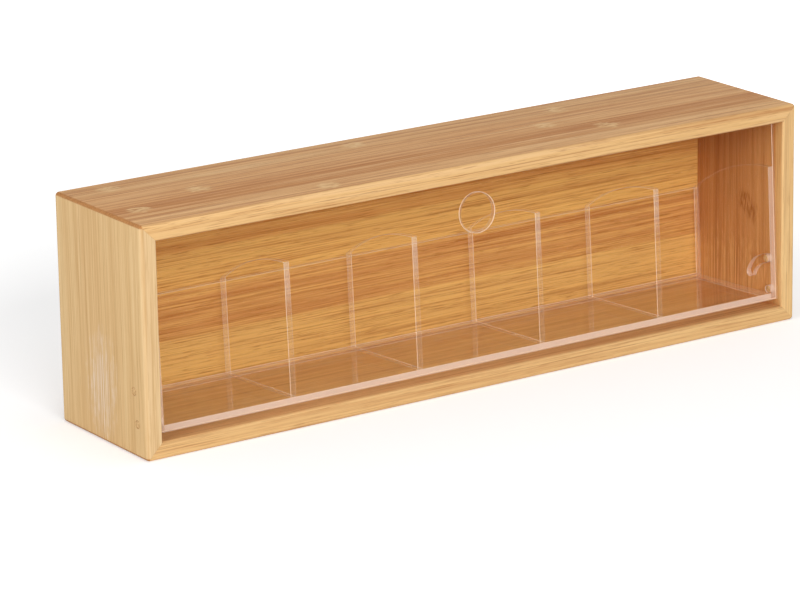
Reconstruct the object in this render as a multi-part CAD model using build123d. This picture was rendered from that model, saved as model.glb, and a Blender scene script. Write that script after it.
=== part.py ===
"""Tea bag drawer box: a mitred bamboo case with a clear acrylic tilt-out drawer.

Lengths are millimetres and angles are degrees. X runs along the case, Y from its front to its
back, and Z up from the surface that it stands on. The origin is the middle of its underside.
The drawer is drawn closed. It leans back on its lower back edge, as gravity leaves it.
"""

from build123d import *
import os
from math import acos, asin, atan2, cos, degrees, hypot, radians, sin, sqrt

# Bamboo case
case_length = 390.0
case_depth = 80.0
case_height = 115.0
board_thickness = 8.5
outer_round = 2.0  # radius on the case's outside edges
mouth_round = 0.8  # radius on the front edges of the opening

# Bamboo dowels that carry and stop the drawer
dowel_diameter = 4.0
dowel_chamfer = 0.4  # at the end inside the case
dowel_inset = 0.3  # from a drawer side's inner face to the end of its dowels
glue_gap = 0.02  # round a dowel in its board

# Acrylic drawer
sheet_thickness = 3.0
edge_break = 0.3  # bevel on the edges of the front panel
compartment_count = 5
side_play = 0.5  # between the drawer and each end of the case
front_setback = 2.0  # from the front of the case to the drawer's lower front edge
depth_play = 6.0  # by which the drawer is shallower than the case's inside
top_gap = 1.3  # above the front panel as it swings past upright
side_front_drop = 23.2  # from the front panel's top edge to the front of a side's curved edge
arch_drop = 20.0  # from the front to the back of that curved edge
finger_hole_diameter = 20.0
finger_hole_web = 7.0  # acrylic left above the finger hole

# Pivot and stop
pivot_clearance = 0.08  # round the pivot dowel in a drawer side
pivot_front_web = 0.9  # acrylic left between the pivot hole and the front panel
pivot_bottom_web = 2.7  # acrylic left under the pivot hole
swing_clearance = 0.6  # under the drawer's lower front edge as it swings
rest_clearance = 0.3  # under the drawer's lower back edge when closed
stop_radius = 16.0  # from the pivot to the stop dowel
slot_clearance = 0.3  # round the stop dowel in its slot
slot_front_web = 2.2  # acrylic left between the slot and the front panel
opening_angle = 60.0  # from closed to fully open

# The case's inside
opening_length = case_length - 2 * board_thickness
opening_height = case_height - 2 * board_thickness

# The pivot's place in the drawer, whose own frame has the pivot at its origin
dowel_radius = dowel_diameter / 2
pivot_hole_radius = dowel_radius + pivot_clearance
pivot_from_front = sheet_thickness + pivot_front_web + pivot_hole_radius
pivot_from_bottom = pivot_bottom_web + pivot_hole_radius

# The drawer's front, back, ends and floor in that frame
drawer_length = opening_length - 2 * side_play
drawer_depth = case_depth - board_thickness - depth_play
drawer_front = -pivot_from_front
drawer_back = drawer_depth - pivot_from_front
drawer_bottom = -pivot_from_bottom
side_front = drawer_front + sheet_thickness
back_inner = drawer_back - sheet_thickness
floor_top = drawer_bottom + sheet_thickness
side_inner = drawer_length / 2 - sheet_thickness
compartment_pitch = (2 * side_inner + sheet_thickness) / compartment_count

# The pivot's place in the case, and the lean that rests the drawer on its lower back edge
pivot_z = board_thickness + hypot(pivot_from_front, pivot_from_bottom) + swing_clearance
rest_drop = pivot_z - board_thickness - rest_clearance
back_corner_angle = degrees(atan2(pivot_from_bottom, drawer_back))
lean = degrees(asin(rest_drop / hypot(drawer_back, pivot_from_bottom))) - back_corner_angle
front_corner_reach = pivot_from_front * cos(radians(lean)) + pivot_from_bottom * sin(radians(lean))
pivot_y = -case_depth / 2 + front_setback + front_corner_reach
drawer_place = Pos(0, pivot_y, pivot_z) * Rot(-lean, 0, 0)

# Heights in the drawer, as the front panel's top edge swings just under the top board
top_radius = case_height - board_thickness - pivot_z - top_gap
front_top = sqrt(top_radius**2 - pivot_from_front**2)
side_front_top = front_top - side_front_drop
side_back_top = side_front_top - arch_drop
finger_hole_z = front_top - finger_hole_web - finger_hole_diameter / 2

# The stop dowel at the front end of its slot, in the drawer and in the case
slot_width = dowel_diameter + 2 * slot_clearance
stop_from_pivot = side_front + slot_front_web + slot_width / 2
slot_start_angle = degrees(acos(stop_from_pivot / stop_radius))
stop_angle = slot_start_angle - lean
stop_y = pivot_y + stop_radius * cos(radians(stop_angle))
stop_z = pivot_z + stop_radius * sin(radians(stop_angle))

ON_TABLE = (Align.CENTER, Align.CENTER, Align.MIN)


def rod(radius, start_x, length):
    """A round bar along X, from start_x."""
    return extrude(Plane.YZ.offset(start_x) * Circle(radius), amount=length)


def case_frame():
    """The four boards of the case as one ring, rounded outside and at the mouth."""
    block = Box(case_length, case_depth, case_height, align=ON_TABLE)
    block = fillet(block.edges(), outer_round)
    inside = Pos(0, 0, board_thickness) * Box(opening_length, case_depth, opening_height, align=ON_TABLE)
    ring = block - inside
    front_face = ring.faces().sort_by(Axis.Y)[0]
    return fillet(front_face.inner_wires()[0].edges(), mouth_round)


def mitred(ring, outer_corners, inner_corners):
    """The part of the ring between an outer edge and an inner edge, given left to right or up."""
    first_outer, last_outer = outer_corners
    first_inner, last_inner = inner_corners
    outline = Polyline(first_outer, last_outer, last_inner, first_inner, close=True)
    wedge = extrude(Plane.XZ * make_face(outline), amount=case_depth, both=True)
    return ring & wedge


def long_board(ring, is_top):
    """Top or bottom board, mitred to the side boards."""
    outer_z = case_height if is_top else 0
    inner_z = case_height - board_thickness if is_top else board_thickness
    outer = ((-case_length / 2, outer_z), (case_length / 2, outer_z))
    inner = ((-opening_length / 2, inner_z), (opening_length / 2, inner_z))
    return mitred(ring, outer, inner)


def left_case_board(ring):
    """Left board, drilled right through for the pivot and stop dowels."""
    outer = ((-case_length / 2, 0), (-case_length / 2, case_height))
    inner_bottom = (-opening_length / 2, board_thickness)
    inner_top = (-opening_length / 2, case_height - board_thickness)
    board = mitred(ring, outer, (inner_bottom, inner_top))
    hole = rod(dowel_radius + glue_gap, -case_length / 2, board_thickness)
    board -= Pos(0, pivot_y, pivot_z) * hole
    board -= Pos(0, stop_y, stop_z) * hole
    return board


def back_case_board():
    """Back board, let in between the other four and flush with their back edges."""
    middle_y = case_depth / 2 - board_thickness / 2
    slab = Box(opening_length, board_thickness, opening_height, align=ON_TABLE)
    return Pos(0, middle_y, board_thickness) * slab


def left_dowel(y, z):
    """Dowel from the case's left face, through the board and into the drawer side."""
    length = board_thickness + side_play + sheet_thickness - dowel_inset
    bar = rod(dowel_radius, -case_length / 2, length)
    inner_edge = bar.edges().filter_by(GeomType.CIRCLE).sort_by(Axis.X)[-1]
    return Pos(0, y, z) * chamfer(inner_edge, dowel_chamfer)


def arched_sheet(front, back, bottom, left_x):
    """Upright sheet across the drawer whose top edge is the arc that all of them share."""
    arch = TangentArc((side_front, side_front_top), (drawer_back, side_back_top), tangent=(1, 0))
    foot = Polyline(
        (drawer_back, side_back_top),
        (drawer_back, drawer_bottom),
        (side_front, drawer_bottom),
        (side_front, side_front_top),
    )
    whole = make_face(arch.edges() + foot.edges())
    height = side_front_top - bottom
    window = Pos((front + back) / 2, bottom + height / 2) * Rectangle(back - front, height)
    return extrude(Plane.YZ.offset(left_x) * (whole & window), amount=sheet_thickness)


def left_drawer_side():
    """Side panel with the pivot hole and the slot that the stop dowel runs in."""
    left_x = -drawer_length / 2
    panel = arched_sheet(side_front, drawer_back, drawer_bottom, left_x)
    pivot_hole = Circle(pivot_hole_radius)
    slot = SlotArc(CenterArc((0, 0), stop_radius, slot_start_angle, -opening_angle), slot_width)
    cut = extrude(Plane.YZ.offset(left_x) * (pivot_hole + slot), amount=sheet_thickness)
    return panel - cut


def divider(number):
    """One of the dividers, which stands on the floor between the front and back panels."""
    middle_x = (number - compartment_count / 2) * compartment_pitch
    return arched_sheet(side_front, back_inner, floor_top, middle_x - sheet_thickness / 2)


def front_panel():
    """Full-height front panel with its finger hole."""
    height = front_top - drawer_bottom
    panel = Pos(0, drawer_front + sheet_thickness / 2, drawer_bottom) * Box(
        drawer_length, sheet_thickness, height, align=ON_TABLE
    )
    hole = Pos(0, drawer_front, finger_hole_z) * Rot(90, 0, 0) * Cylinder(
        finger_hole_diameter / 2, 4 * sheet_thickness
    )
    panel -= hole
    return chamfer(panel.edges().filter_by(lambda edge: edge.length > sheet_thickness), edge_break)


def floor_panel():
    """Floor of the drawer, bonded between the sides and behind the front panel."""
    depth = drawer_back - side_front
    slab = Box(2 * side_inner, depth, sheet_thickness, align=ON_TABLE)
    return Pos(0, side_front + depth / 2, drawer_bottom) * slab


def back_panel():
    """Low back panel, which stands on the floor between the sides."""
    height = side_back_top - floor_top
    slab = Box(2 * side_inner, sheet_thickness, height, align=ON_TABLE)
    return Pos(0, drawer_back - sheet_thickness / 2, floor_top) * slab


def case_parts():
    """Boards and dowels of the case by name."""
    ring = case_frame()
    left_board = left_case_board(ring)
    pivot_dowel = left_dowel(pivot_y, pivot_z)
    stop_dowel = left_dowel(stop_y, stop_z)
    return {
        "top_board": long_board(ring, True),
        "bottom_board": long_board(ring, False),
        "left_board": left_board,
        "right_board": mirror(left_board, Plane.YZ),
        "back_board": back_case_board(),
        "left_pivot_dowel": pivot_dowel,
        "right_pivot_dowel": mirror(pivot_dowel, Plane.YZ),
        "left_stop_dowel": stop_dowel,
        "right_stop_dowel": mirror(stop_dowel, Plane.YZ),
    }


def drawer_parts():
    """Panels of the drawer by name, leaning back in their closed place."""
    left_side = left_drawer_side()
    panels = {
        "drawer_front_panel": front_panel(),
        "drawer_back_panel": back_panel(),
        "drawer_floor_panel": floor_panel(),
        "drawer_left_side": left_side,
        "drawer_right_side": mirror(left_side, Plane.YZ),
    }
    for number in range(1, compartment_count):
        panels[f"divider_{number}"] = divider(number)
    return {name: drawer_place * panel for name, panel in panels.items()}


os.makedirs("parts", exist_ok=True)
for node, shape in {**case_parts(), **drawer_parts()}.items():
    export_step(shape, f"parts/{node}.step")
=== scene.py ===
"""Looks of the tea bag drawer box: a mitred case of laminated bamboo round a clear acrylic drawer.

Lengths are metres unless a name or comment says mm. X runs along the case, Y from its front to its
back, Z up from the table. Patterns are worked out in millimetres from Object coordinates.
"""

from math import cos, radians, sin

import bmesh
import bpy
from mathutils import Matrix, Vector


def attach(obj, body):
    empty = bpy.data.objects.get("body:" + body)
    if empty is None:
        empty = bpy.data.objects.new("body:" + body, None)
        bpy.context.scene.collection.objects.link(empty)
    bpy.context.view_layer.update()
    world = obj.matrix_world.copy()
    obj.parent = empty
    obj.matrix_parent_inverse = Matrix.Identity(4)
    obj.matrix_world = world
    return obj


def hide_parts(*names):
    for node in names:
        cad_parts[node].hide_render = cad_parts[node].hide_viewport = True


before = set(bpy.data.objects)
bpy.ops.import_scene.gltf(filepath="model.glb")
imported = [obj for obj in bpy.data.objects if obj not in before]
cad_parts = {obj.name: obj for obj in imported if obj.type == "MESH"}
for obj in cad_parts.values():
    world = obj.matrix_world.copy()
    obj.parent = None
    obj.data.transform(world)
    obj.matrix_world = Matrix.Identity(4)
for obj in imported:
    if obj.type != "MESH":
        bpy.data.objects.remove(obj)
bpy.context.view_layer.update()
scene = bpy.context.scene

MM = 0.001
SHARP = radians(30)  # an edge that turns by more than this is sharp
ACRYLIC_IOR = 1.49

# Shader helpers


def linear(colour):
    """A #RRGGBB colour as the linear RGBA that sockets hold."""
    channels = [int(colour[i : i + 2], 16) / 255 for i in (1, 3, 5)]
    return (*(c / 12.92 if c <= 0.04045 else ((c + 0.055) / 1.055) ** 2.4 for c in channels), 1.0)


WHITE = linear("#FFFFFF")


def add(tree, kind, inputs=None, **settings):
    """Adds a node with its settings and sets or links its inputs. Returns its first output."""
    node = tree.nodes.new("ShaderNode" + kind)
    for name, value in settings.items():
        setattr(node, name, value)
    for socket, value in (inputs or {}).items():
        if isinstance(value, bpy.types.NodeSocket):
            tree.links.new(value, node.inputs[socket])
        else:
            node.inputs[socket].default_value = value
    return node.outputs[0] if node.outputs else node


def new_material(name):
    """An empty node material and its tree."""
    material = bpy.data.materials.new(name)
    material.use_nodes = True
    material.node_tree.nodes.clear()
    return material, material.node_tree


# Bamboo


def bamboo(
    name,
    axes,
    strips,
    dark,
    pale,
    dash,
    seed,
    mottle=0.4,
    streaks=0.5,
    lines=0.4,
    dashes=0.4,
    marks=(),
    mark_tone=None,
    pale_patch=None,
    pale_patch_tone=None,
    pale_patch_share=None,
    end_grain=("#B9814D", "#94602F"),
):
    """Laminated bamboo, planed, sanded and lightly oiled.

    It is made of flat strips about 20 mm wide, glued side by side, each with its own tone. Fine
    parallel fibres run along them, with the thin dark dashes of the vessel bundles and a ragged
    knuckle at each old node. The oil gives it a low, soft sheen.

    axes: the axes along the fibres, across the strips and through the board
    strips: the near edge of the first strip, then each strip's far edge, in mm across the board,
        with its colour
    dark, pale, dash: the tones of the fibres and of the vessel dashes
    seed: the place in the patterns, so that no two boards are alike
    mottle, streaks, lines, dashes: how strongly the drift of tone and the fibres show
    marks, mark_tone: the nodes, in mm along and across, and their tone
    worn, pale_patch_tone, pale_patch_share: the middle and half size of a pale patch, in mm along
    and across, its tone and its strength. On the right board the patch is painted light,
    bounced up from the case floor onto the lower inside wall
    end_grain: the wood and its pores where the surface cuts across the fibres
    """
    material, tree = new_material(name)
    tex = add(tree, "TexCoord").node
    in_mm = add(tree, "VectorMath", {0: tex.outputs["Object"], "Scale": 1 / MM}, operation="SCALE")
    split = add(tree, "SeparateXYZ", {"Vector": in_mm}).node
    along, across, through = (split.outputs[axis] for axis in axes)

    # the fibres wander by up to 1 mm
    slow = add(tree, "CombineXYZ", {"X": along, "Y": across, "Z": through})
    slow = add(tree, "VectorMath", {0: slow, 1: (1 / 140, 1 / 30, 1 / 30)}, operation="MULTIPLY")
    pattern = {"Vector": slow, "W": seed, "Scale": 1.0, "Detail": 1.0}
    wander = add(tree, "TexNoise", pattern, noise_dimensions="4D")
    wander = add(tree, "MapRange", {"Value": wander, "To Min": -1.0, "To Max": 1.0})
    bent = add(tree, "Math", {0: across, 1: wander}, operation="ADD")
    fibre = add(tree, "CombineXYZ", {"X": along, "Y": bent, "Z": through})

    def grain(length, width, detail, shift):
        """A pattern from 0 to 1, drawn out along the fibres. length and width are in mm.

        Each pattern has its own shift, so that no two of them fall together.
        """
        stretch = (1 / length, 1 / width, 1 / width)
        pattern = {
            "Vector": add(tree, "VectorMath", {0: fibre, 1: stretch}, operation="MULTIPLY"),
            "W": seed + shift,
            "Scale": 1.0,
            "Detail": detail,
            "Roughness": 0.6,
        }
        return add(tree, "TexNoise", pattern, noise_dimensions="4D")

    def painted(under, over, *patterns):
        """Lays a colour over another, as far as every pattern lets it through.

        Each pattern is given with the value where it starts to let the colour through, the value
        where it lets most of it through, and how much that is.
        """
        shares = [
            add(
                tree,
                "MapRange",
                {"Value": pattern, "From Min": start, "From Max": full, "To Max": most},
                interpolation_type="SMOOTHSTEP",
            )
            for pattern, start, full, most in patterns
        ]
        share = shares[0]
        for other in shares[1:]:
            share = add(tree, "Math", {0: share, 1: other}, operation="MULTIPLY")
        # the colour sockets of a Mix node are inputs 6 and 7 and output 2
        both = add(tree, "Mix", {"Factor": share, 6: under, 7: over}, data_type="RGBA").node
        return both.outputs[2]

    # each strip has its own tone, and the tones meet within 1 mm
    meet = 0.5
    first_edge, last_edge = strips[0][0], strips[-1][0]
    step = add(tree, "MapRange", {"Value": bent, "From Min": first_edge, "From Max": last_edge})
    ramp = add(tree, "ValToRGB", {"Fac": step}).node
    stops = []
    for (start, _), (end, tone) in zip(strips, strips[1:]):
        stops += [(start + meet, tone), (end - meet, tone)]
    elements = ramp.color_ramp.elements
    while len(elements) < len(stops):
        elements.new(1.0)
    for element, (edge, tone) in zip(elements, stops):
        element.position = (edge - first_edge) / (last_edge - first_edge)
        element.color = linear(tone)
    colour = ramp.outputs["Color"]

    # broad drift of tone, fine fibres, long dark lines and vessel dashes. Real fibres are 0.1 to
    # 0.2 mm wide and wouldn't show, so they are drawn 0.5 mm wide
    drift = grain(length=240, width=2.8, detail=2.0, shift=3.1)
    colour = painted(colour, linear(dark), (drift, 0.47, 0.68, mottle))
    colour = painted(colour, linear(pale), (drift, 0.53, 0.32, mottle))
    streak = grain(length=70, width=0.5, detail=3.0, shift=7.7)
    colour = painted(colour, linear(dark), (streak, 0.5, 0.66, streaks))
    colour = painted(colour, linear(pale), (streak, 0.5, 0.34, streaks))
    line = grain(length=120, width=1.0, detail=1.0, shift=17.9)
    colour = painted(colour, linear(dash), (line, 0.58, 0.7, lines))
    vessel = grain(length=14, width=0.42, detail=2.0, shift=12.3)
    colour = painted(colour, linear(dash), (vessel, 0.55, 0.68, dashes))

    if marks or pale_patch:
        # tufts 6 mm long and 1.6 mm wide that fray the edge of a mark or patch
        tuft = (1 / 6, 1 / 1.6, 1 / 1.6)
        tufts = add(tree, "VectorMath", {0: fibre, 1: tuft}, operation="MULTIPLY")
        tufts = add(tree, "TexNoise", {"Vector": tufts, "Scale": 1.0, "Detail": 2.0}).node
        either_way = {0: tufts.outputs["Color"], 1: (-0.5, -0.5, -0.5)}
        ragged = add(tree, "VectorMath", either_way, operation="ADD")
        ragged = add(tree, "VectorMath", {0: ragged, "Scale": 1.6}, operation="SCALE")

    def apart_from(there, half_size):
        """Distance from a place, both in mm, in shares of a half size and with a ragged edge."""
        flat = add(tree, "CombineXYZ", {"X": along, "Y": across})
        scale = (1 / half_size[0], 1 / half_size[1], 0)
        flat = add(tree, "VectorMath", {0: flat, 1: scale}, operation="MULTIPLY")
        flat = add(tree, "VectorMath", {0: flat, 1: ragged}, operation="ADD")
        middle = (there[0] / half_size[0], there[1] / half_size[1], 0)
        apart = add(tree, "VectorMath", {0: flat, 1: middle}, operation="DISTANCE").node
        return apart.outputs["Value"]

    # nodes: a ragged knuckle of flecks
    if marks:
        knuckle = (6.5, 6.0)  # half its length and width in mm
        nearest = 9.0  # further than any knuckle reaches
        for mark in marks:
            both = {0: nearest, 1: apart_from(mark, knuckle)}
            nearest = add(tree, "Math", both, operation="MINIMUM")
        fleck = grain(length=5, width=0.8, detail=1.0, shift=31.0)
        within = (nearest, 1.15, 0.5, 0.85)
        on_flecks = (fleck, 0.4, 0.56, 1.0)
        colour = painted(colour, linear(mark_tone), within, on_flecks)
    # a pale patch, through which the dark fibres still show. On the right board it is painted
    # light, bounced up from the case floor
    if pale_patch:
        within = (apart_from(*pale_patch), 1.25, 0.35, pale_patch_share)
        off_dark_fibres = (streak, 0.62, 0.42, 1.0)
        colour = painted(colour, linear(pale_patch_tone), within, off_dark_fibres)

    # end grain where the surface cuts across the fibres
    cut = add(tree, "SeparateXYZ", {"Vector": tex.outputs["Normal"]}).node.outputs[axes[0]]
    cut = add(tree, "Math", {0: cut}, operation="ABSOLUTE")
    pores = grain(length=0.9, width=0.9, detail=2.0, shift=21.0)
    wood, pore = end_grain
    end_tone = painted(linear(wood), linear(pore), (pores, 0.42, 0.62, 0.6))
    colour = painted(colour, end_tone, (cut, 0.08, 0.42, 0.95))

    # sanding leaves the fibres a little proud, and the oil dulls them unevenly
    height = add(tree, "Math", {0: streak, 1: vessel}, operation="ADD")
    bump = add(tree, "Bump", {"Strength": 0.25, "Distance": 0.12 * MM, "Height": height})
    rough = {"Value": streak, "From Min": 0.3, "From Max": 0.7, "To Min": 0.5, "To Max": 0.62}
    look = {
        "Base Color": colour,
        "Roughness": add(tree, "MapRange", rough),
        "Normal": bump,
        "IOR": 1.5,
        "Specular IOR Level": 0.12,
    }
    add(tree, "OutputMaterial", {"Surface": add(tree, "BsdfPrincipled", look)})
    return material


# Acrylic


def polished_face(name, bends):
    """Polished face of clear cast acrylic sheet, as clear as glass and a little mirror-like.

    The square of the Fresnel share keeps the glare at a low angle and takes the white veil off the
    view straight through. Without bends, what is behind the sheet shows in its own place.
    """
    material, tree = new_material(name)
    path = add(tree, "LightPath").node
    mirror = add(tree, "BsdfGlossy", {"Color": WHITE, "Roughness": 0.0})
    clear = add(tree, "BsdfTransparent", {"Color": WHITE})
    if bends:
        share = add(tree, "Fresnel", {"IOR": ACRYLIC_IOR})
        # from inside, a clear view takes the place of the mirror, or the cut edges look black
        inside = add(tree, "NewGeometry").node.outputs["Backfacing"]
        mirror = add(tree, "MixShader", {"Fac": inside, 1: mirror, 2: clear})
        glass = {"Color": WHITE, "Roughness": 0.0, "IOR": ACRYLIC_IOR}
        through = add(tree, "BsdfRefraction", glass)
    else:
        facing = add(tree, "LayerWeight", {"Blend": 0.5}).node.outputs["Facing"]
        # at this power it grows towards a low angle much as the Fresnel share does
        share = add(tree, "Math", {0: facing, 1: 2.5}, operation="POWER")
        through = clear
    share = add(tree, "Math", {0: share, 1: 2.0}, operation="POWER")
    surface = add(tree, "MixShader", {"Fac": share, 1: through, 2: mirror})
    # lamps and bounced light go straight through the sheet, so that the box is lit inside
    to_lamp, bounced = path.outputs["Is Shadow Ray"], path.outputs["Is Diffuse Ray"]
    light = add(tree, "Math", {0: to_lamp, 1: bounced}, operation="MAXIMUM")
    surface = add(tree, "MixShader", {"Fac": light, 1: surface, 2: clear})
    add(tree, "OutputMaterial", {"Surface": surface})
    return material


def cut_edge(name, tone, opacity, top_opacity=None):
    """Sawn and flame polished edge of the same sheet. Its pale veil is painted light, standing in
    for the light that the edge gathers.

    With top_opacity, the veil thickens from 56 to 68 mm above the table, where more light comes in.
    """
    material, tree = new_material(name)
    if top_opacity:
        place = add(tree, "TexCoord").node.outputs["Object"]
        height = add(tree, "SeparateXYZ", {"Vector": place}).node.outputs["Z"]
        veil = {
            "Value": height,
            "From Min": 56 * MM,
            "From Max": 68 * MM,
            "To Min": opacity,
            "To Max": top_opacity,
        }
        opacity = add(tree, "MapRange", veil)
    look = {"Base Color": linear(tone), "Roughness": 0.3, "IOR": ACRYLIC_IOR, "Alpha": opacity}
    add(tree, "OutputMaterial", {"Surface": add(tree, "BsdfPrincipled", look)})
    return material


# Pieces


def copy_of(node):
    """A bmesh of a CAD node with its loose triangles joined and its flat faces whole."""
    shape = bmesh.new()
    shape.from_mesh(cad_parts[node].data)
    bmesh.ops.remove_doubles(shape, verts=shape.verts, dist=0.002 * MM)
    bmesh.ops.dissolve_limit(
        shape, angle_limit=radians(0.5), verts=shape.verts, edges=shape.edges, delimit=set()
    )
    return shape


def eased(shape, offset, segments=1):
    """Takes a fine bevel off the sharp edges, so that joints and arrises show as thin lines."""
    sharp = [e for e in shape.edges if len(e.link_faces) == 2 and e.calc_face_angle(0) > SHARP]
    bmesh.ops.bevel(
        shape,
        geom=sharp,
        offset=offset,
        affect="EDGES",
        segments=segments,
        profile=0.5,
        material=-1,
        clamp_overlap=True,
    )
    return shape


def piece(name, shape, body, node, materials, flat=()):
    """Makes a bmesh into a piece that stands for a CAD node.

    flat lists the faces that keep flat shading.
    """
    mesh = bpy.data.meshes.new(name)
    shape.to_mesh(mesh)
    shape.free()
    mesh.set_sharp_from_angle(angle=SHARP)
    for index in flat:
        mesh.polygons[index].use_smooth = False
    for material in materials:
        mesh.materials.append(material)
    thing = bpy.data.objects.new(name, mesh)
    scene.collection.objects.link(thing)
    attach(thing, body)
    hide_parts(node)


# Case

board_looks = {
    "top_board": dict(
        axes="XYZ",
        strips=(
            (-40, None),
            (-38.5, "#E0B57A"),
            (-27, "#E0B07A"),
            (-21, "#D29D66"),
            (-6, "#C78D56"),
            (18, "#D6A069"),
            (40, "#D9A770"),
        ),
        dark="#A9693A",
        pale="#E4BC8A",
        dash="#955A2F",
        mottle=0.55,
        streaks=0.42,
        lines=0.4,
        dashes=0.5,
        marks=(
            (-172, 28),
            (-137, 2),
            (-32, 27),
            (67, 2),
            (90, 25),
            (92, -17),
            (-180, -14),
            (-85, -31),
        ),
        mark_tone="#E4C08C",
        seed=1.0,
    ),
    "bottom_board": dict(
        axes="XYZ",
        strips=(
            (-40, None),
            (-38.5, "#E1B87E"),
            (-22, "#DCAD77"),
            (0, "#DCAD79"),
            (20, "#DCAE7B"),
            (40, "#D4A672"),
        ),
        dark="#AE6F3A",
        pale="#E0B981",
        dash="#985C2E",
        mottle=0.4,
        streaks=0.45,
        lines=0.4,
        dashes=0.35,
        marks=((-120, -10), (20, 8), (150, -12)),
        mark_tone="#DDB984",
        seed=11.0,
    ),
    "left_board": dict(
        axes="ZYX",
        strips=(
            (-40, None),
            (-38.5, "#DBBA8C"),
            (-20, "#DCB884"),
            (0, "#D9B480"),
            (20, "#D7B17D"),
            (40, "#DBB783"),
        ),
        dark="#C0945C",
        pale="#E6C998",
        dash="#B4874E",
        mottle=0.35,
        streaks=0.5,
        lines=0.45,
        dashes=0.3,
        pale_patch=((28, 0), (26, 13)),
        pale_patch_tone="#E6D2BC",
        pale_patch_share=0.75,
        seed=21.0,
    ),
    # from -34 mm across to the back, this board's tones and fibres are darker and redder than the
    # other boards': partly its own strips, and partly painted shade for the inside of the box and
    # the part behind the drawer's front
    "right_board": dict(
        axes="ZYX",
        strips=(
            (-40, None),
            (-38.5, "#EAC48A"),
            (-34, "#DDB274"),
            (-4, "#CB9056"),
            (16, "#C5884F"),
            (40, "#C88B50"),
        ),
        dark="#985628",
        pale="#D3A064",
        dash="#8C4B1F",
        mottle=0.4,
        streaks=0.35,
        lines=0.3,
        dashes=0.3,
        marks=((54, -13), (59, -8)),
        mark_tone="#9A5C2A",
        # painted light: the lower inside wall is made paler, as if lit by light bounced up from the
        # case floor
        pale_patch=((12, 8), (26, 46)),
        pale_patch_tone="#F5C680",
        pale_patch_share=0.5,
        seed=31.0,
    ),
    "back_board": dict(
        axes="XZY",
        # the strip from 76 mm up is darker: partly its own tone and partly painted shade cast on it
        # by the top board
        strips=((8, None), (33, "#E2B268"), (56, "#CF9455"), (76, "#DFAC60"), (107, "#D29550")),
        dark="#A55D24",
        pale="#EBBE6A",
        dash="#96531B",
        mottle=0.3,
        streaks=0.55,
        lines=0.35,
        dashes=0.6,
        seed=41.0,
    ),
}
glue_line = 0.07 * MM  # bevel on the boards' sharp edges
for node, looks in board_looks.items():
    timber = bamboo("laminated bamboo, " + node.replace("_", " "), **looks)
    piece(node + "_planed", eased(copy_of(node), glue_line), "case", node, [timber])

# the dowels are one strip each, and the outside of the case shows their sawn and sanded ends
dowel_timber = bamboo(
    "turned bamboo dowel",
    axes="XYZ",
    strips=((-60, None), (60, "#D9B580")),
    dark="#B98A58",
    pale="#EACFA4",
    dash="#9A6A3C",
    end_grain=("#D8B27E", "#A97C48"),
    seed=51.0,
)
dowel_ring = 0.2 * MM  # bevel at the ends of the dowels
for side in ("left", "right"):
    for use in ("pivot", "stop"):
        node = f"{side}_{use}_dowel"
        turned = eased(copy_of(node), dowel_ring)
        piece(node + "_turned", turned, "case", node, [dowel_timber])

# Drawer

bending_face = polished_face("clear cast acrylic, polished face of the front", True)
clear_face = polished_face("clear cast acrylic, polished face", False)
front_edge = cut_edge("clear cast acrylic, edge of the front", "#FBE3D2", 0.1)
side_edge = cut_edge("clear cast acrylic, front edge of the sides", "#FBE3D2", 0.34)
floor_edge = cut_edge("clear cast acrylic, front edge of the floor", "#FBE3D2", 0.52)
divider_edge = cut_edge("clear cast acrylic, front edge of the dividers", "#E2D2C4", 0.07, 0.3)
faint_edge = cut_edge("clear cast acrylic, other edges", "#FFE6CC", 0.16)
arris_gleam = cut_edge("clear cast acrylic, arris", "#FFE6CC", 0.6)

lean = radians(3.065)  # the closed drawer leans back by this
across_case = Vector((1, 0, 0))
towards_back = Vector((0, cos(lean), -sin(lean)))
drawer_up = Vector((0, sin(lean), cos(lean)))
pivot = Vector((0, -31.773 * MM, 16.756 * MM))
by_pivot = 19 * MM  # takes in the pivot holes, the slots and the drawer's lowest front edges
bond_line = 0.02 * MM  # each sheet stops this much short of the sheets that it is bonded to
arris = 0.2 * MM  # on the cut edges
wide_face = 4 * MM**2  # a face above this area is flat

# of each sheet, the direction through it, and the looks of its faces and of its front edge
sheets = {
    "drawer_front_panel": (towards_back, bending_face, front_edge),
    "drawer_back_panel": (towards_back, clear_face, faint_edge),
    "drawer_floor_panel": (drawer_up, clear_face, floor_edge),
    "drawer_left_side": (across_case, clear_face, side_edge),
    "drawer_right_side": (across_case, clear_face, side_edge),
    **{f"divider_{number}": (across_case, clear_face, divider_edge) for number in (1, 2, 3, 4)},
}
# a sheet's materials, in the order of its list of looks
FACE, FRONT_EDGE, OTHER_EDGE, ARRIS, PIVOT_EDGE = range(5)
for node, (through, face_look, edge_look) in sheets.items():
    shape = copy_of(node)
    if node != "drawer_front_panel":  # whose edges are already broken
        eased(shape, arris, segments=2)
    shape.normal_update()
    shape.faces.index_update()
    for face in shape.faces:
        squareness = abs(face.normal.dot(through))  # 1 on a polished face and 0 on a cut edge
        middle = face.calc_center_median()
        if squareness > 0.98:
            face.material_index = FACE
        elif squareness > 0.2:
            face.material_index = ARRIS
        elif (Vector((0, middle.y, middle.z)) - pivot).length < by_pivot:
            face.material_index = PIVOT_EDGE
        elif face.normal.dot(towards_back) < -0.9:
            face.material_index = FRONT_EDGE
        else:
            face.material_index = OTHER_EDGE
    for vert in shape.verts:
        vert.co -= vert.normal * bond_line * vert.calc_shell_factor()
    flat = {face.index for face in shape.faces if face.calc_area() > wide_face}
    looks = [face_look, edge_look, faint_edge, arris_gleam, floor_edge]
    piece(node + "_polished", shape, "drawer", node, looks, flat)

# Studio


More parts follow.
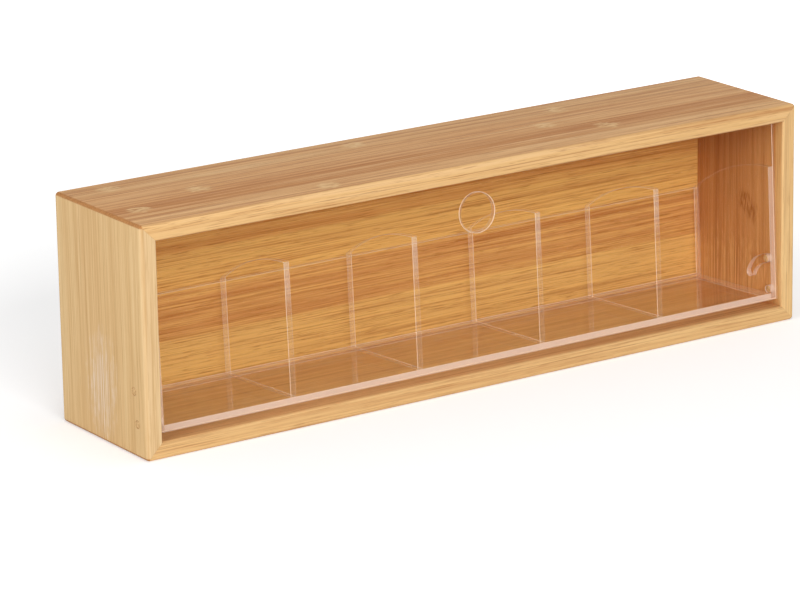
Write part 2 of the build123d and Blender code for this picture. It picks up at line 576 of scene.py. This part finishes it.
def seen_itself(tree):
    """1 to a look at it, plain, in a mirror or through the acrylic, and 0 to the light it gives."""
    path = add(tree, "LightPath").node
    plain_look, in_mirror = path.outputs["Is Camera Ray"], path.outputs["Is Glossy Ray"]
    seen = add(tree, "Math", {0: plain_look, 1: in_mirror}, operation="MAXIMUM")
    through_sheet = path.outputs["Is Transmission Ray"]
    return add(tree, "Math", {0: seen, 1: through_sheet}, operation="MAXIMUM")


floor_shape = bmesh.new()
bmesh.ops.create_circle(floor_shape, cap_ends=True, segments=64, radius=5.0)
floor_mesh = bpy.data.meshes.new("studio_floor")
floor_shape.to_mesh(floor_mesh)
floor_shape.free()
floor = bpy.data.objects.new("studio_floor", floor_mesh)
scene.collection.objects.link(floor)

# Matt paper. It glows where it is looked at, and so looks plain white but for the shadow
paper, tree = new_material("matt white paper sweep")
matt = add(tree, "BsdfDiffuse", {"Color": linear("#EAEAEA")})
# the lamps light it less further away from the object, so there it glows more
place = add(tree, "TexCoord").node.outputs["Object"]
away = add(tree, "VectorMath", {0: place}, operation="LENGTH").node.outputs["Value"]
growing = {"Value": away, "From Min": 0.25, "From Max": 0.7, "To Min": 0.36, "To Max": 0.9}
lift = add(tree, "MapRange", growing)
lift = add(tree, "Math", {0: seen_itself(tree), 1: lift}, operation="MULTIPLY")
glow = add(tree, "Emission", {"Color": WHITE, "Strength": lift})
add(tree, "OutputMaterial", {"Surface": add(tree, "AddShader", {0: matt, 1: glow})})
floor_mesh.materials.append(paper)

# white all round, which looks brighter than the light it gives
world = bpy.data.worlds.new("white studio")
scene.world = world
world.use_nodes = True
tree = world.node_tree
tree.nodes.clear()
strength = add(tree, "MapRange", {"Value": seen_itself(tree), "To Min": 0.4, "To Max": 1.0})
white_walls = add(tree, "Background", {"Color": WHITE, "Strength": strength})
add(tree, "OutputWorld", {"Surface": white_walls})


def softbox(name, place, size, power):
    """A square lamp that faces the object."""
    lamp = bpy.data.lights.new(name, "AREA")
    lamp.shape = "SQUARE"
    lamp.size = size
    lamp.energy = power
    holder = bpy.data.objects.new(name, lamp)
    holder.location = place
    towards = Vector((0, 0, 0.05)) - Vector(place)
    holder.rotation_euler = towards.to_track_quat("-Z", "Y").to_euler()
    scene.collection.objects.link(holder)


softbox("key softbox", (-0.8, -2.6, 1.0), size=1.3, power=46.0)
softbox("left softbox", (-1.9, -0.5, 0.7), size=0.8, power=12.5)
softbox("top softbox", (0.2, -0.2, 2.2), size=0.8, power=6.5)

# Camera, at the photograph's viewing angle
yaw, pitch, roll = radians(33.93), radians(-16.34), radians(-0.94)
forward = Vector((sin(yaw) * cos(pitch), cos(yaw) * cos(pitch), sin(pitch)))
level_right = Vector((cos(yaw), -sin(yaw), 0))
level_up = level_right.cross(forward)
right = cos(roll) * level_right + sin(roll) * level_up
up = -sin(roll) * level_right + cos(roll) * level_up
camera_data = bpy.data.cameras.new("camera")
camera_data.lens = 189.69
camera_data.sensor_width = 36.0
camera_data.clip_start, camera_data.clip_end = 0.05, 50.0
camera = bpy.data.objects.new("camera", camera_data)
aim = Matrix((right, up, -forward)).transposed().to_4x4()
camera.matrix_world = Matrix.Translation((-1.1436, -1.6642, 0.6280)) @ aim
scene.collection.objects.link(camera)
scene.camera = camera

scene.view_settings.view_transform = "Standard"
# a view through the drawer passes many faces
scene.cycles.max_bounces = 24
scene.cycles.diffuse_bounces = 8
scene.cycles.transmission_bounces = 24
scene.cycles.transparent_max_bounces = 32
